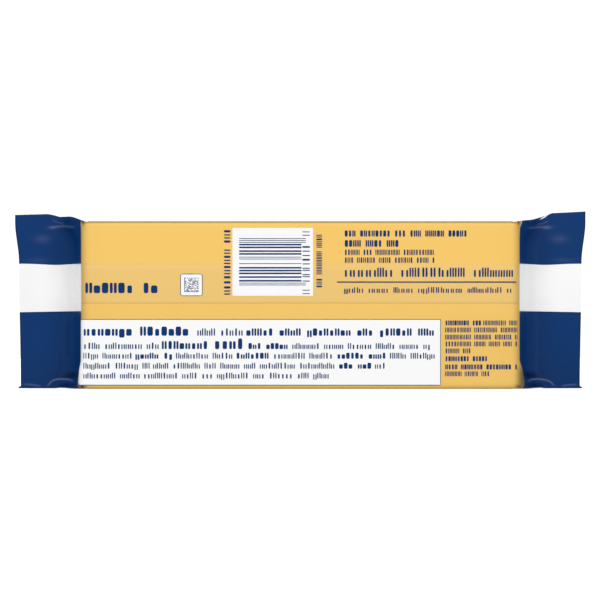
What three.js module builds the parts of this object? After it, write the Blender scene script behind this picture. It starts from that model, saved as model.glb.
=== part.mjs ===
// A block of cheese in its sealed flow wrap: a film tube shut at both ends by a flat fin.
// It stands on one long narrow side. Millimetres, +Z up, origin under the middle of that side.
// X runs along the block and Y through its depth. The face with the lap seam looks to -Y.
import * as THREE from 'three';

// Driving dimensions of the wrapped block.
const BLOCK_LENGTH = 131.6;
const BLOCK_HEIGHT = 50.3;
const BLOCK_DEPTH = 31;
const LONG_EDGE_RADIUS = 1.2;
const END_EDGE_RADIUS = 2.8;
const TOP_END_RADIUS = 2.0;
const CORNER_BULGE = 1.0;
const CORNER_BULGE_HEIGHT = 3.5;
const CORNER_BULGE_SPREAD = 3.8;

// Lap seam: the strip along the -Y face where one film edge lies over the other.
const SEAM_LOW = 25.8;
const SEAM_HIGH = 37.7;
const SEAM_STEP = 0.2;

// End fins: the film of both faces meets in the middle of the depth and is pressed flat.
const FIN_THICKNESS = 0.8;
const FIN_REACH = 18.5;
const FIN_REACH_AT_WAIST = 19.0;
const FIN_REACH_AT_TOP = 20.2;
const FIN_WAIST = 38;
const FIN_FOOT_GAP = 0.1;
const FIN_EDGE_CROWN = 0.15;
const FIN_WAVE = 0.7;
const FIN_WAVE_LENGTH = 62;
const FIN_WAVE_PHASE = { left: 0.6, right: 1.9 };
const ROOT_RADIUS = 5.0;
const END_SLANT = THREE.MathUtils.degToRad(80.5);
const LIP_SLANT = THREE.MathUtils.degToRad(65);
const FLARE_HEIGHT = 6.5;

// Tucks: the narrow sides are pushed in between the two faces at each end.
const TUCK_WALL = 0.45;
const TUCK_WALL_GROWTH = 0.14;
const TUCK_RECESS = 0.6;
const TUCK_FULL_DEPTH = 7;

// Rise of each fin's top edge over the block: near the corner, farther out, and its slope to the end.
const LIP_RISE = {
  left: { near: 1.58, far: 0.7, tilt: -0.27, back: 0 },
  right: { near: 0.52, far: 2.05, tilt: 0.5, back: 0.9 },
};
const NEAR_RISE_START = -1.5;
const NEAR_RISE_END = 4.2;
const FAR_RISE_START = 6.3;
const FAR_RISE_END = 10.7;
const BACK_LIP_MIDDLE = 6.9;
const BACK_LIP_SPREAD = 2.2;
const FOOT_RISE_START = -1.5;
const FOOT_RISE_END = 1.0;

// Creases pressed into the film of each fin, as ridges along a line over its reach u.
const CREASE_HEIGHT = 0.45;
const CREASE_WIDTH = 0.9;
const FOOT_ARCH = { middle: 5.8, halfSpan: 5.2, low: 0.4, high: 3.0 };
const TOP_CREASE = { middle: 5.8, halfSpan: 5.2, low: 48.4, high: 49.2 };
const CREASE_FADE_START = 0.75;
const CREASE_FADE_END = 1.15;
const CREASE_REACH_START = 1.5;

// How finely the film is divided.
const STRETCHES = [['corner', 4], ['slant', 4], ['root', 3], ['fin', 6]];
const BODY_SPANS = 8;
const COLUMN_ROWS = 18;
const COLUMN_MARGIN = 2.0;
const FIN_MARGIN = 0.5;
const SHIFTED_ZONE = 10;
const FULLY_SHIFTED = 2;
const SEAM_EDGE = 0.15;

const FILM_COLOUR = 0xf7c96e;
const FILM_ROUGHNESS = 0.38;

const HALF_LENGTH = BLOCK_LENGTH / 2;
const HALF_DEPTH = BLOCK_DEPTH / 2;
const HALF_FIN = FIN_THICKNESS / 2;
const MIDDLE_HEIGHT = BLOCK_HEIGHT / 2;

const mix = (from, to, share) => from + (to - from) * share;

// Rises smoothly from 0 at one value to 1 at the other.
function ramp(start, end, value) {
  const t = THREE.MathUtils.clamp((value - start) / (end - start), 0, 1);
  return t * t * (3 - 2 * t);
}

const bell = (distance) => Math.exp(-distance * distance);

// Stops along the film past the block's corner: the stretch of the path, and the share of it covered.
const STOPS = STRETCHES.flatMap(([stretch, count]) =>
  Array.from({ length: count }, (_, step) => ({ stretch, share: (step + 1) / count })));
STOPS.unshift({ stretch: 'corner', share: 0 });

// The film's slant over the end, measured from +X: steep at mid height, flaring at the top and foot.
function slantAt(z) {
  const fromEdge = MIDDLE_HEIGHT - Math.abs(z - MIDDLE_HEIGHT);
  return mix(LIP_SLANT, END_SLANT, ramp(0, FLARE_HEIGHT, fromEdge));
}

// Reach of the fin's free edge, which splays out towards its top.
function finReach(z) {
  const lower = mix(FIN_REACH, FIN_REACH_AT_WAIST, ramp(0, FIN_WAIST, z));
  return mix(lower, FIN_REACH_AT_TOP, ramp(FIN_WAIST, BLOCK_HEIGHT, z));
}

function cornerBulge(stop, z) {
  const share = { corner: stop.share, slant: 1 - stop.share, root: 0, fin: 0 }[stop.stretch];
  const level = (z - CORNER_BULGE_HEIGHT) / CORNER_BULGE_SPREAD;
  return CORNER_BULGE * share * bell(level * level);
}

// The film of one face, seen from above at height z: round the corner, slanting over the end,
// through the root and out along the fin. u is the reach past the block, half the half depth there.
function filmPath(stop, z) {
  const slant = slantAt(z);
  const turn = 1 - Math.cos(slant);
  const drop = HALF_DEPTH - HALF_FIN - (END_EDGE_RADIUS + ROOT_RADIUS) * turn;
  const run = drop / Math.tan(slant);
  const cornerReach = -END_EDGE_RADIUS * (1 - Math.sin(slant));
  const rootReach = cornerReach + run + ROOT_RADIUS * Math.sin(slant);
  const bulge = cornerBulge(stop, z);
  const { stretch, share } = stop;
  if (stretch === 'corner') {
    const heading = slant * share;
    const u = END_EDGE_RADIUS * (Math.sin(heading) - 1) + bulge;
    return { u, half: HALF_DEPTH - END_EDGE_RADIUS * (1 - Math.cos(heading)), heading };
  }
  if (stretch === 'slant') {
    const half = HALF_DEPTH - END_EDGE_RADIUS * turn - drop * share;
    return { u: cornerReach + run * share + bulge, half, heading: slant };
  }
  if (stretch === 'root') {
    const heading = slant * (1 - share);
    const half = HALF_FIN + ROOT_RADIUS * (1 - Math.cos(heading));
    return { u: rootReach - ROOT_RADIUS * Math.sin(heading), half, heading };
  }
  return { u: mix(rootReach, finReach(z), share), half: HALF_FIN, heading: 0 };
}

// Width of the narrow side that is folded in at each stop, and the same widths as rows of the tuck.
const TUCKED = STOPS.map((stop) => HALF_DEPTH - filmPath(stop, BLOCK_HEIGHT).half);
const LAST_OPEN = STOPS.findIndex((stop) => stop.stretch === 'root' && stop.share === 1);
const TUCK_ROWS = [...TUCKED.slice(0, LAST_OPEN + 1), HALF_DEPTH];

// Thickness between the face and the tuck behind it, growing with the depth below the folded edge.
const tuckWall = (depth) => TUCK_WALL + TUCK_WALL_GROWTH * depth;

// How far each stop has turned from the block's rounded edge into the thin fold of the fin.
const foldShare = (stop) => (stop.stretch === 'corner' ? ramp(0, 1, stop.share) : 1);

function topRise(end, side, u) {
  const lip = end < 0 ? LIP_RISE.left : LIP_RISE.right;
  const near = lip.near * ramp(NEAR_RISE_START, NEAR_RISE_END, u);
  const far = lip.far * ramp(FAR_RISE_START, FAR_RISE_END, u);
  const tilt = lip.tilt * Math.max(0, u - FAR_RISE_END) / (FIN_REACH_AT_TOP - FAR_RISE_END);
  const back = side > 0 ? lip.back * bell((u - BACK_LIP_MIDDLE) / BACK_LIP_SPREAD) : 0;
  return near + far + tilt + back;
}

const footRise = (u) => FIN_FOOT_GAP * ramp(FOOT_RISE_START, FOOT_RISE_END, u);

// Height of the folded edge at the top (way = 1) or foot (way = -1) of a stop.
function edgeHeight(end, side, stop, way) {
  const { u } = filmPath(stop, way > 0 ? BLOCK_HEIGHT : 0);
  return way > 0 ? BLOCK_HEIGHT + topRise(end, side, u) : footRise(u);
}

// Drop of the narrow side near the block's rounded long edge.
function longEdgeDrop(width) {
  const inside = Math.max(0, LONG_EDGE_RADIUS - width);
  return LONG_EDGE_RADIUS - Math.sqrt(LONG_EDGE_RADIUS ** 2 - inside ** 2);
}

// The narrow side bends over the end of the block: how far out and down it is after a length of film.
function endFace(length) {
  const bent = Math.min(length, TOP_END_RADIUS * Math.PI / 2);
  const angle = bent / TOP_END_RADIUS;
  return {
    u: -TUCK_RECESS - TOP_END_RADIUS * (1 - Math.sin(angle)),
    down: TOP_END_RADIUS * (1 - Math.cos(angle)) + length - bent,
  };
}

function crease(line, u, z) {
  const along = (u - line.middle) / line.halfSpan;
  const level = mix(line.high, line.low, Math.min(1, along ** 4));
  const fading = 1 - ramp(CREASE_FADE_START, CREASE_FADE_END, Math.abs(along));
  return fading * bell((z - level) / CREASE_WIDTH);
}

// Extra thickness of the film's outer face: fin creases and, on the seam's side, the lap seam.
function relief(side, u, z) {
  const onFin = ramp(0, CREASE_REACH_START, u);
  const creases = CREASE_HEIGHT * onFin * (crease(FOOT_ARCH, u, z) + crease(TOP_CREASE, u, z));
  const inSeam = z > SEAM_LOW && z < SEAM_HIGH;
  const seam = side < 0 && inSeam ? SEAM_STEP * (1 - onFin) : 0;
  return creases + seam;
}

// The fins aren't quite flat: their middle plane swings gently through the depth towards the end.
function finWave(end, u, z) {
  const phase = end < 0 ? FIN_WAVE_PHASE.left : FIN_WAVE_PHASE.right;
  const share = ramp(ROOT_RADIUS, FIN_REACH, u);
  return FIN_WAVE * share * Math.sin(2 * Math.PI * z / FIN_WAVE_LENGTH + phase);
}

function placed(end, side, u, half, z) {
  return [end * (HALF_LENGTH + u), side * half + finWave(end, u, z), z];
}

// A point of the upright film, at a nominal level of the block's height.
function columnPoint(end, side, stop, level) {
  const margin = mix(COLUMN_MARGIN, FIN_MARGIN, foldShare(stop));
  const top = edgeHeight(end, side, stop, 1) - margin - (BLOCK_HEIGHT - COLUMN_MARGIN);
  const foot = edgeHeight(end, side, stop, -1) + margin - COLUMN_MARGIN;
  const nearTop = ramp(BLOCK_HEIGHT - SHIFTED_ZONE, BLOCK_HEIGHT - FULLY_SHIFTED, level);
  const nearFoot = 1 - ramp(FULLY_SHIFTED, SHIFTED_ZONE, level);
  const z = level + top * nearTop + foot * nearFoot;
  const { u, half } = filmPath(stop, z);
  return placed(end, side, u, half + relief(side, u, z), z);
}

// Height of a tuck row's own edge: the two faces' edges meet in the middle of the depth.
function tuckEdge(end, side, stop, way, width) {
  const here = edgeHeight(end, side, stop, way);
  const across = edgeHeight(end, -side, stop, way);
  return mix(here, (here + across) / 2, width / HALF_DEPTH);
}

// A point of the folded-in narrow side: width is its distance from the face's edge, in the film.
// Up to the stop's own row it hangs behind the face, and past it the film lies on the block's end.
function tuckPoint(end, side, index, row, way) {
  const stop = STOPS[index];
  const width = TUCK_ROWS[row];
  const tucked = TUCKED[Math.min(index, LAST_OPEN)];
  const fold = foldShare(stop);
  const closing = ramp(TUCK_FULL_DEPTH, TUCKED[LAST_OPEN], tucked);
  const edge = tuckEdge(end, side, stop, way, width);
  const face = endFace(tucked);
  const floor = (way > 0 ? BLOCK_HEIGHT : 0) - way * face.down;
  const rounded = way * longEdgeDrop(width);
  const behindFace = row <= index;
  const hung = mix(edge - rounded, mix(edge, floor, tucked > 0 ? width / tucked : 0), fold);
  const crown = way * FIN_EDGE_CROWN * (1 - width / HALF_DEPTH) ** 2;
  const z = mix(behindFace ? hung : floor - rounded, edge - crown, closing);
  const path = filmPath(stop, z);
  const wall = row === 0 ? fold * TUCK_WALL / 2 : mix(width, tuckWall(Math.abs(edge - z)), fold);
  const openU = behindFace ? path.u - wall * Math.sin(path.heading) : face.u;
  const openHalf = behindFace ? path.half - wall * Math.cos(path.heading) : HALF_DEPTH - width;
  const u = mix(openU, path.u, closing);
  const half = mix(openHalf, path.half * (1 - width / HALF_DEPTH), closing);
  return placed(end, side, u, half, z);
}

// Levels of the upright film, closer together near its top and foot, with a step at each seam edge.
function columnLevels() {
  const levels = [];
  for (let row = 0; row < COLUMN_ROWS; row += 1) {
    const share = (1 - Math.cos(Math.PI * row / (COLUMN_ROWS - 1))) / 2;
    levels.push(mix(COLUMN_MARGIN, BLOCK_HEIGHT - COLUMN_MARGIN, share));
  }
  for (const edge of [SEAM_LOW, SEAM_HIGH]) {
    levels.push(edge - SEAM_EDGE, edge + SEAM_EDGE);
  }
  return levels.sort((low, high) => low - high);
}

// Half a ring of film round the block at one stop: up one side from the foot's middle to the top's.
function halfRing(end, side, index) {
  const rows = TUCK_ROWS.map((_, row) => row);
  return [
    ...rows.toReversed().map((row) => tuckPoint(end, side, index, row, -1)),
    ...columnLevels().map((level) => columnPoint(end, side, STOPS[index], level)),
    ...rows.map((row) => tuckPoint(end, side, index, row, 1)),
  ];
}

// The rings from the left fin's end to the right fin's end.
function filmRings() {
  const left = STOPS.map((_, index) => [halfRing(-1, -1, index), halfRing(-1, 1, index)]).toReversed();
  const right = STOPS.map((_, index) => [halfRing(1, -1, index), halfRing(1, 1, index)]);
  const between = [];
  for (let span = 1; span < BODY_SPANS; span += 1) {
    const share = span / BODY_SPANS;
    between.push(left.at(-1).map((half, side) =>
      half.map((point, row) => point.map((value, axis) => mix(value, right[0][side][row][axis], share)))));
  }
  return [...left, ...between, ...right];
}

// Joins the rings into one closed skin: a ring is its front half, then its back half without the
// middle points that both halves share. Each fin's end is closed by a ladder from front to back.
function filmGeometry() {
  const rings = filmRings();
  const halfCount = rings[0][0].length;
  const ringCount = 2 * halfCount - 2;
  const positions = rings.flatMap(([front, back]) => [...front, ...back.slice(1, -1).toReversed()]).flat();
  const vertex = (ring, row) => ring * ringCount + (row + ringCount) % ringCount;
  const faces = [];
  const addQuad = (a, b, c, d) => {
    for (const face of [[a, b, c], [a, c, d]]) {
      if (new Set(face).size === 3) {
        faces.push(...face);
      }
    }
  };
  for (let ring = 0; ring < rings.length - 1; ring += 1) {
    for (let row = 0; row < ringCount; row += 1) {
      addQuad(vertex(ring, row), vertex(ring + 1, row), vertex(ring + 1, row + 1), vertex(ring, row + 1));
    }
  }
  const last = rings.length - 1;
  for (let row = 0; row < halfCount - 1; row += 1) {
    addQuad(vertex(0, row), vertex(0, row + 1), vertex(0, -row - 1), vertex(0, -row));
    addQuad(vertex(last, -row), vertex(last, -row - 1), vertex(last, row + 1), vertex(last, row));
  }
  const geometry = new THREE.BufferGeometry();
  geometry.setAttribute('position', new THREE.Float32BufferAttribute(positions, 3));
  geometry.setIndex(faces);
  geometry.computeVertexNormals();
  return geometry;
}

const film = new THREE.MeshStandardMaterial({
  color: FILM_COLOUR,
  roughness: FILM_ROUGHNESS,
  metalness: 0,
});

const wrappedBlock = new THREE.Mesh(filmGeometry(), film);
wrappedBlock.name = 'wrapped_block';

const pack = new THREE.Group();
pack.add(wrappedBlock);

export default pack;
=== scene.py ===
"""A block of cheese sealed in printed film, dressed round its solid: film, print and a plain studio."""

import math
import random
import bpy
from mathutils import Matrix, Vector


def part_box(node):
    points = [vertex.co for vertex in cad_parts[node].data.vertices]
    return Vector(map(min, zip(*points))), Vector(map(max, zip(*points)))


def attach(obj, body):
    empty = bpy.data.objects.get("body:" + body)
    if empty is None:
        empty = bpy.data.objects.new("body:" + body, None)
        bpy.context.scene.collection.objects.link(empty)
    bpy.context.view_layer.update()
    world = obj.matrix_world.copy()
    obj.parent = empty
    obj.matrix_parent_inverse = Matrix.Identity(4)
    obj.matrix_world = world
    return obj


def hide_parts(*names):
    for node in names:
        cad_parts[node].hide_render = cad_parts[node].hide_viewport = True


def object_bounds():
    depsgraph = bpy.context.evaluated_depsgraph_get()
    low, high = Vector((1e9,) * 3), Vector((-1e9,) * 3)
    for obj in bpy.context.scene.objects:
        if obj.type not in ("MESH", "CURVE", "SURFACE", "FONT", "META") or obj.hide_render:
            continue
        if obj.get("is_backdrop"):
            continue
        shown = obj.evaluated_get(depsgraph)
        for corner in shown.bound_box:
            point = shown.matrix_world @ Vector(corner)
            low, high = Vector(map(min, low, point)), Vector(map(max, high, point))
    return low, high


bl_info = {
    "name": "Wrapped Cheese Block",
    "version": (1, 0, 0),
    "blender": (4, 5, 0),
    "location": "View3D > Sidebar > Cheese Block",
    "description": "Makes the folded film, the print and the studio of a wrapped cheese block",
    "category": "Object",
}

import bpy
import numpy as np
from bpy.props import FloatProperty, FloatVectorProperty, IntProperty, PointerProperty
from mathutils import Vector

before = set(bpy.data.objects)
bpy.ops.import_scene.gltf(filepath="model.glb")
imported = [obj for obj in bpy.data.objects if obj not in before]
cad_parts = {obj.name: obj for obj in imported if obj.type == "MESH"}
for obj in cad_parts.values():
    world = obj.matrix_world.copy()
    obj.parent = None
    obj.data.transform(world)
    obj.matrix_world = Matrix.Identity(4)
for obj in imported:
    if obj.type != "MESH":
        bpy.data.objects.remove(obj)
CAD_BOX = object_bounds()
BLOCK_NODE = "wrapped_block"
BLOCK_LOW, BLOCK_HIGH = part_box(BLOCK_NODE)
BODY = "root"

MM = 0.001
LEFT, RIGHT = -1, 1
FRONT, BACK = -1, 1
TOP, FOOT = 1, -1

# Folds of the film at the block's ends, as in the solid. The small spur at the fins' foot is the scene's
# own, and so is each end's share of the bulge near the foot.
FIN_REACH = 18.5 * MM
FIN_REACH_AT_WAIST = 19.0 * MM
FIN_REACH_AT_TOP = 20.2 * MM
FIN_WAIST = 38.0 * MM
FIN_FOOT_GAP = 0.1 * MM
FOOT_SPUR = 0.75 * MM
FOOT_SPUR_ZONE = (0.45 * MM, 0.85 * MM)
FIN_EDGE_CROWN = 0.15 * MM
FIN_WAVE_LENGTH = 62.0 * MM
FIN_WAVE_PHASE = {LEFT: 0.6, RIGHT: 1.9}
ROOT_RADIUS = 5.0 * MM
END_SLANT = math.radians(80.5)
LIP_SLANT = math.radians(65.0)
FLARE_HEIGHT = 6.5 * MM
END_EDGE_RADIUS = 2.8 * MM
TOP_END_RADIUS = 2.0 * MM
CORNER_BULGE_HEIGHT = 3.5 * MM
CORNER_BULGE_SPREAD = 3.8 * MM
CORNER_BULGE_SHARE = {LEFT: 0.6, RIGHT: 1.0}
TUCK_WALL_GROWTH = 0.14
TUCK_RECESS = 0.6 * MM
TUCK_FULL_DEPTH = 7.0 * MM

# Rise of each fin's top edge over the block: near the corner, farther out, its slope, and the back's.
LIP_RISE = {
    LEFT: (1.58 * MM, 0.7 * MM, -0.27 * MM, 0.0),
    RIGHT: (0.52 * MM, 2.05 * MM, 0.5 * MM, 0.9 * MM),
}
NEAR_RISE = (-1.5 * MM, 4.2 * MM)
FAR_RISE = (6.3 * MM, 10.7 * MM)
BACK_LIP_MIDDLE = 6.9 * MM
BACK_LIP_SPREAD = 2.2 * MM
FOOT_RISE = (-1.5 * MM, 1.0 * MM)

# Lap seam along the front face.
SEAM_LOW = 25.8 * MM
SEAM_HIGH = 37.7 * MM
SEAM_EDGE = 0.15 * MM
SEAM_SLOPE = 2.0 * MM
SEAM_SLOPE_ROWS = 5

# Kinds of crease in the fins: height, width above and below the crest, and the share of painted highlight
# along it, which at sharp creases also stands for whitened ink (less than 0, painted shade). Lengths are in
# millimetres, as are the places below.
CREASE_KINDS = (
    (0.12, (0.16, 0.22), 0.24),
    (0.18, (0.20, 0.36), 0.36),
    (0.20, (0.20, 0.26), 0.44),
    (0.08, (0.22, 0.26), 0.26),
    (-0.08, (0.28, 0.28), -0.45),
    (-0.05, (0.20, 0.20), -0.30),
)
# Where each end's creases of these kinds run: points (reach past the block, height), from the outer or the
# upper end.
CREASES = {
    LEFT: (
        ((9.3, 51.1), (8.2, 50.4), (6.5, 49.9), (4.7, 49.6)),
        ((10.4, 48.2), (9.2, 48.6), (7.35, 48.9), (5.5, 49.0), (3.75, 48.85), (1.5, 48.6)),
        ((11.0, 0.7), (10.0, 1.25), (9.15, 2.2), (7.35, 2.85), (4.6, 2.85), (3.4, 2.65), (2.0, 2.1)),
        ((18.2, 1.3), (15.5, 1.2), (12.0, 0.7)),
        ((4.2, 20.5), (4.4, 14.0), (4.1, 9.0)),
        ((4.9, 18.8), (4.95, 15.2)),
    ),
    RIGHT: (
        ((9.35, 50.8), (8.3, 50.15), (6.6, 49.65), (4.8, 49.4)),
        ((9.9, 48.25), (8.6, 48.55), (7.1, 48.7), (5.4, 48.65), (3.9, 48.5), (2.0, 48.4)),
        ((11.2, 0.5), (9.9, 1.7), (9.0, 2.35), (6.3, 2.9), (4.5, 2.85), (3.4, 2.65), (2.2, 2.1)),
        ((18.4, 1.3), (15.5, 1.1), (12.4, 0.7)),
    ),
}
CREASE_STEPS = 8
CREASE_FADE = 1.6 * MM
CREASE_REACH = (0.4 * MM, 2.2 * MM)
# Soft swellings of the fins: (reach, height), (spread out, spread up), height.
SWELLINGS = (
    ((12.2, 44.9), (2.2, 1.4), 0.20),
    ((15.0, 38.9), (4.0, 0.9), 0.08),
)
# Painted highlights (above 0) and painted shade (below 0) on the fins: (reach, height), spreads, share.
PAINTED_LIGHT_PATCHES = (
    ((8.9, 48.6), (1.5, 0.5), 0.20),
    ((12.0, 45.0), (2.3, 1.2), 0.13),
    ((13.5, 38.7), (3.2, 0.7), 0.09),
    ((3.2, 4.15), (2.4, 0.9), -0.95),
    ((5.2, 3.55), (1.8, 0.4), -0.40),
    ((4.6, 1.1), (2.9, 0.7), -0.85),
    ((4.6, 50.2), (3.4, 0.9), -0.35),
    ((10.0, 0.0), (16.0, 9.0), -0.25),
)
# Painted shade along the fins' free edges.
FIN_RIM = (0.15 * MM, 0.45 * MM)
FIN_RIM_SHADE = 0.8

# The film's name, and how finely it is divided: steps in each stretch past the block's corner, spans along
# the block, and levels up the film, with the zones where they shift to meet the folded edges.
FILM_NAME = "film_wrap"
STRETCHES = (("corner", 9), ("slant", 10), ("root", 12), ("fin", 60))
BODY_SPANS = 24
COLUMN_ROWS = 144
EVEN_SHARE = 0.30
COLUMN_MARGIN = 2.0 * MM
FIN_MARGIN = 0.5 * MM
SHIFTED_ZONE = 10.0 * MM
FULLY_SHIFTED = 2.0 * MM
# Edges that turn by more than this stay sharp.
SHARP_ANGLE = math.radians(50.0)

# Print on the ends: how much film from the start of the rounded end edge stays yellow, and the white stripe.
INK_START = {LEFT: 4.5 * MM, RIGHT: 4.7 * MM}
INK_START_AT_TOP = {LEFT: 0.3 * MM, RIGHT: 1.3 * MM}
INK_TOP_ZONE = (48.0 * MM, 50.4 * MM)
INK_START_AT_BULGE = 1.3 * MM
STRIPE_LOW = 23.4 * MM
STRIPE_HIGH = 37.65 * MM
STRIPE_FALL = 0.35 * MM
STRIPE_DIP = 0.35 * MM
STRIPE_DIP_MIDDLE = 8.0 * MM
STRIPE_DIP_SPREAD = 5.0 * MM
# Painted highlight on the back layer's rim: white painted between the front's top edge and the rim of the
# back's, where the film lies in front of a depth.
LIP_GLINT_GAP = 0.12 * MM
LIP_GLINT_RIM = 0.20 * MM
LIP_GLINT_DEPTH = 0.20 * MM
# Painted shadows in the notches of the front's corners: (reach, height), radius of the navy painted in it as
# shadow, spreads of the painted shade round it. The painted navy in them ends at a depth behind the face.
NOTCH_SHADOWS = {
    LEFT: (
        ((-0.15, 50.6), 0.40, (0.3, 0.3)),
        ((-0.65, 50.1), 0.30, (0.5, 0.8)),
        ((-0.45, 0.65), 0.40, (1.1, 0.6)),
    ),
    RIGHT: (((-0.25, 50.1), 0.32, (0.5, 0.8)), ((-0.30, 0.75), 0.0, (0.9, 0.5))),
}
NOTCH_SHADOW_DEPTH = 2.5 * MM

# Painted shade: how far the yellow is painted darker where the film turns over an edge, low down, near the
# corner and round the bulge.
END_SHADE = 0.30
END_SHADE_ZONE = (0.4 * MM, 4.0 * MM)
TOP_SHADE = 0.60
TOP_SHADE_ZONE = (0.50 * MM, 0.80 * MM)
TOP_SHADE_DEPTH = (1.2 * MM, 2.0 * MM)
FOOT_SHADE = 0.06
FOOT_SHADE_ZONE = (1.0 * MM, 2.4 * MM)
LOW_SHADE = 0.085
LOW_SHADE_ZONE = (14.0 * MM, 33.0 * MM)
CORNER_SHADE = 0.12
CORNER_SHADE_ZONE = (-3.8 * MM, -0.8 * MM)
BULGE_SHADE = 0.90
BULGE_SHADE_ZONE = (-1.7 * MM, 0.9 * MM)
BULGE_SHADE_DEPTH = (3.5 * MM, 6.0 * MM)

# Printed film's finish: each noise as its scale and detail, and the depth of its bumps.
SHEEN_NOISE = (45.0, 2.0)
RIPPLE_NOISE = (130.0, 2.0)
RIPPLE_DEPTH = 0.05 * MM
GRAIN_NOISE = (2600.0, 1.0)
GRAIN_DEPTH = 0.004 * MM
SCREEN_PITCH = 0.66 * MM
SCREEN_CONTRAST = 0.02
FILM_ROUGHNESS = (0.28, 0.38)
FILM_GLOSS = 0.30
EDGE_WIDTH = 0.05 * MM
# Where a Mix node has its colour sockets, which share their names with its number sockets.
MIX_FIRST, MIX_SECOND, MIX_RESULT = 6, 7, 2

# White panels on the front: (left, right, foot, top), radius of the corners left and right, has a rim.
PANELS = {
    "facts": ((-67.7, 41.98, 1.28, 20.8), (0.9, 0.1), True),
    "line_code": ((-20.35, 3.8, 28.0, 48.35), (0.05, 0.05), False),
    "dot_code": ((-35.8, -29.5, 28.1, 34.4), (0.45, 0.45), True),
}
CORNER_STEPS = 6
PANEL_COLUMNS = 24
BEND_COLUMNS = 16
PANEL_ROWS = 40

# Ways to print a row: the pitch of its blocks as a share of the row's height, the stems that a block
# may be split into as shares of the pitch, and how often a block is tall.
STYLES = {
    "bold": (0.76, ((0.78,), (0.35, 0.35), (0.56,)), 0.40),
    "light": (0.66, ((0.29, 0.29), (0.29, 0.29), (0.40,)), 0.35),
    "caps": (0.57, ((0.29, 0.29), (0.29, 0.29), (0.50,)), 1.0),
    "bold_caps": (0.62, ((0.74,), (0.35, 0.35), (0.54,)), 1.0),
    "wide": (0.85, ((0.24, 0.24), (0.24, 0.24), (0.20, 0.20, 0.20)), 0.30),
    "figures": (0.80, ((0.25, 0.25), (0.25, 0.25), (0.44,)), 1.0),
    "fine_figures": (0.80, ((0.16, 0.16), (0.16, 0.16), (0.28,)), 1.0),
}
# A low block's height, how often it hangs below its row and how far, and the part of its pitch that a block's
# stems span, all as shares. Then the number of blocks in a word-like group.
LOW_BLOCK = 0.74
DROPPED_SHARE = 0.10
DROP = 0.20
STEM_SPAN = 0.84
WORD_BLOCKS = (3, 9)
# Rows of blocks that stand for small print: foot, then stretches of (left, right, height, style).
PANEL_LINES = (
    (16.0, (-65.2, -33.4, 2.75, "bold"), (-31.0, -17.2, 2.2, "light"), (-16.4, 40.2, 2.2, "bold")),
    (
        12.0,
        (-65.2, -42.4, 1.95, "light"),
        (-41.7, -27.6, 2.4, "bold"),
        (-26.1, -16.9, 3.2, "bold"),
        (-15.7, -3.7, 1.8, "bold"),
        (-2.5, 39.2, 1.8, "light"),
    ),
    (
        9.1,
        (-65.2, -50.3, 1.8, "light"),
        (-49.6, -38.2, 1.8, "bold"),
        (-37.4, -20.3, 1.8, "light"),
        (-19.4, -9.4, 1.8, "bold"),
        (-8.2, 9.8, 1.8, "light"),
        (10.9, 25.8, 1.8, "bold"),
        (26.8, 40.4, 1.8, "light"),
    ),
    (
        6.1,
        (-65.2, -45.1, 1.8, "light"),
        (-44.3, 10.3, 1.8, "light"),
        (11.5, 21.4, 1.8, "bold"),
        (22.3, 25.6, 1.8, "light"),
    ),
    (3.15, (-65.2, -48.1, 1.8, "light"), (-47.2, -26.2, 1.8, "light"), (-25.1, 8.6, 1.8, "light")),
)
# Lines right of the white panel, which share their left end and height: foot, right, style.
SIDE_LINES_LEFT = 43.4
SIDE_LINES_HEIGHT = 1.5
SIDE_LINES = (
    (17.0, 65.2, "caps"),
    (14.85, 65.2, "caps"),
    (12.8, 65.2, "caps"),
    (10.7, 51.2, "caps"),
    (8.35, 56.2, "bold_caps"),
    (5.9, 65.2, "bold_caps"),
    (3.85, 56.8, "caps"),
)
ROWS = (
    *PANEL_LINES,
    (19.1, (SIDE_LINES_LEFT, 54.3, SIDE_LINES_HEIGHT, "bold_caps"), (54.8, 65.2, SIDE_LINES_HEIGHT, "caps")),
    *((foot, (SIDE_LINES_LEFT, right, SIDE_LINES_HEIGHT, style)) for foot, right, style in SIDE_LINES),
    (45.75, (13.2, 50.1, 1.85, "bold_caps")),
    (42.7, (13.2, 29.6, 2.0, "bold_caps")),
    (40.2, (13.2, 40.1, 1.65, "caps")),
    (37.85, (13.2, 40.4, 1.65, "caps")),
    (33.65, (13.2, 64.0, 2.8, "wide")),
    (28.85, (13.0, 63.4, 1.75, "wide")),
    (28.8, (-64.7, -42.6, 3.1, "bold")),
)
# The same for rows that run up the face: right, then stretches of (foot, top, height, style).
CODE_FIGURES = ((28.4, 29.9), (32.1, 43.6), (45.9, 47.4))
UPRIGHT_ROWS = (
    (-20.95, (28.2, 48.1, 1.95, "figures")),
    (6.55, (30.3, 46.4, 1.75, "caps")),
    (2.9, *((foot, top, 2.3, "fine_figures") for foot, top in CODE_FIGURES)),
)
# The rule as (left, right, height, thickness).
RULE = (11.0, 64.8, 32.1, 0.37)
# The line code as (left, right, foot), and its bars in modules: the bars that a digit may have, and where the
# guards' bars stand at its foot and its top. How much longer a guard's bar is, and how much narrower than its
# modules a bar is printed.
LINE_CODE = (-18.35, 0.35, 31.1)
LINE_CODE_MODULE = 0.278
LINE_CODE_DIGITS = 6
DIGIT_MODULES = 7
BAR_MODULES = (1, 2, 2)
FOOT_GUARD = (0, 2)
FOOT_GUARD_MODULES = 3
TOP_GUARD = (1, 3, 5)
GUARD_LENGTH = 1.3
BAR_LOSS = 0.07
# The dot code's left foot corner, its square of cells, and a dot's size as a share of its cell.
DOT_CODE_CORNER = (-34.85, 29.1)
DOT_CODE_CELL = 0.312
DOT_CODE_CELLS = 14
DOT_CODE_DARK_SHARE = 0.5
DOT_SIZE = 0.80

# How the marks are laid on the film: corners as shares of a mark, and where the search for the film starts.
MARKS_TREE = "printed_marks"
MARK_SIZE = "size"
MARK_START = 0.1
MARK_CORNER_STEPS = 2
SHARP_CORNER = 0.02
BLOCK_ROUNDING = 0.22

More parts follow.
